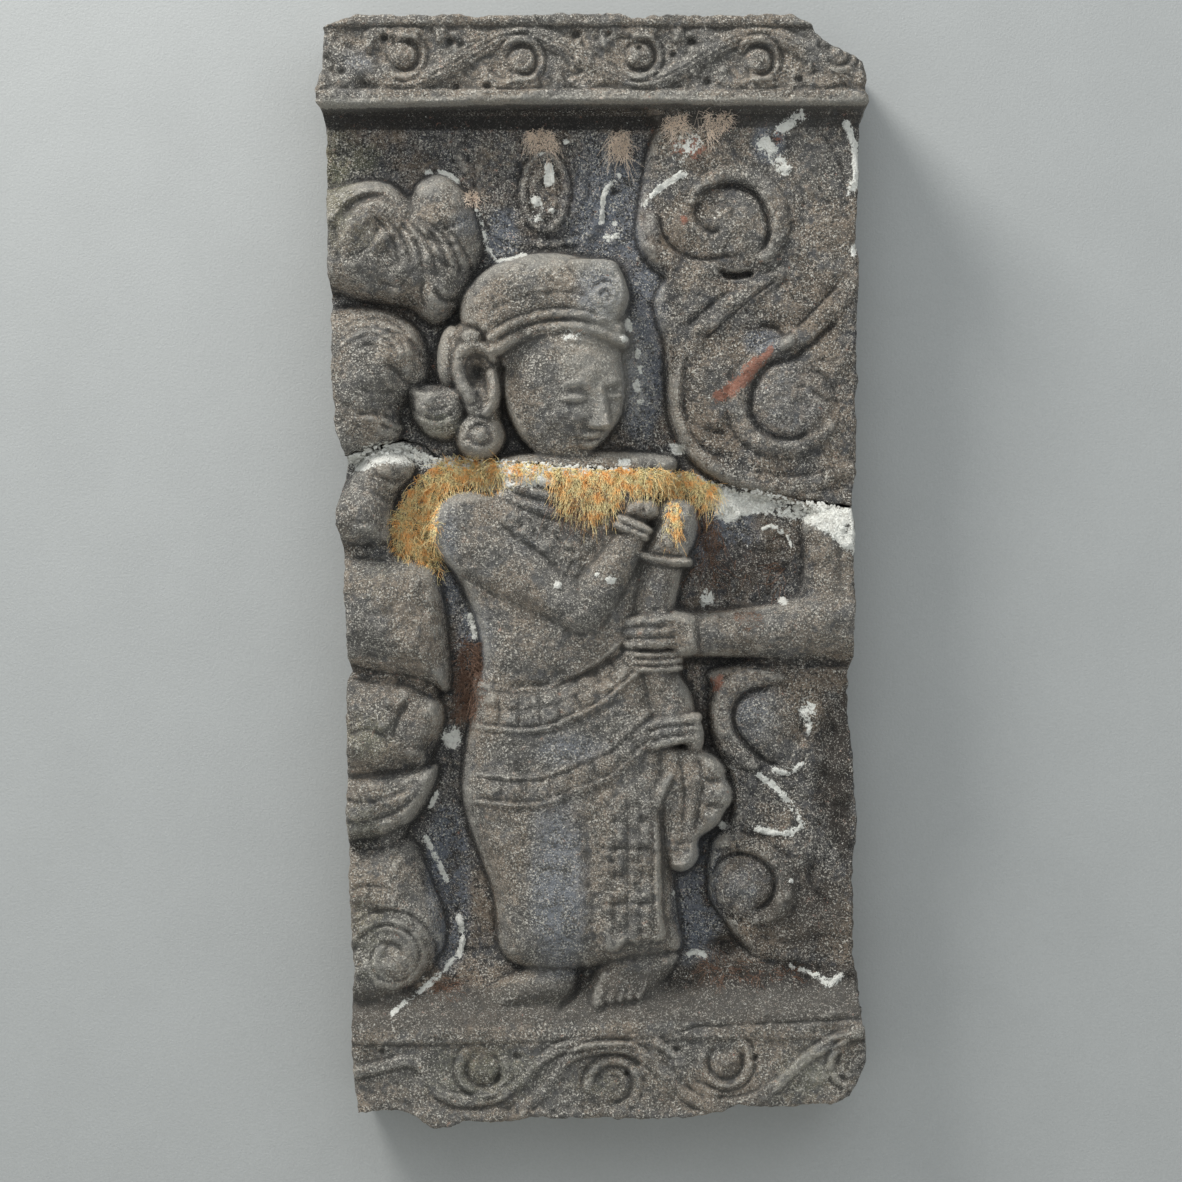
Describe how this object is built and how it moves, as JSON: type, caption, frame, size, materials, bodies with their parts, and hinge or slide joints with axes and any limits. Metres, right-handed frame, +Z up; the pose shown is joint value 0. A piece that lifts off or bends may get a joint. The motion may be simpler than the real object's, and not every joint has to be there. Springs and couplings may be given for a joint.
{
  "type": "stone relief panel",
  "caption": "Carved stone wall panel of a standing figure among rocks and scrolls, between a cornice and a base band, in two stones with an uneven joint.",
  "frame": {"origin": "middle of the flat back, which lies against the wall", "axes": "+Z up, +Y out of the back into the wall, carved face towards -Y, +X to the right as seen from the front"},
  "size_m": [0.496, 0.1389, 0.998],
  "materials": {
    "upper_tuff": "weathered coarse volcanic tuff, dark grey-brown with pale grains, lime crust and lichen",
    "lower_tuff": "weathered coarse volcanic tuff, dark grey-brown with pale grains, worn blue-grey on the cloth",
    "lime_crust": "chalky white lime and lichen crust, dry and crumbly",
    "moss": "dry orange-brown moss in fine matted strands",
    "roots": "fine dry reddish-brown root hairs"
  },
  "bodies": {
    "root": {"upper_stone": "upper_tuff", "lower_stone": "lower_tuff"}
  },
  "joints": []
}
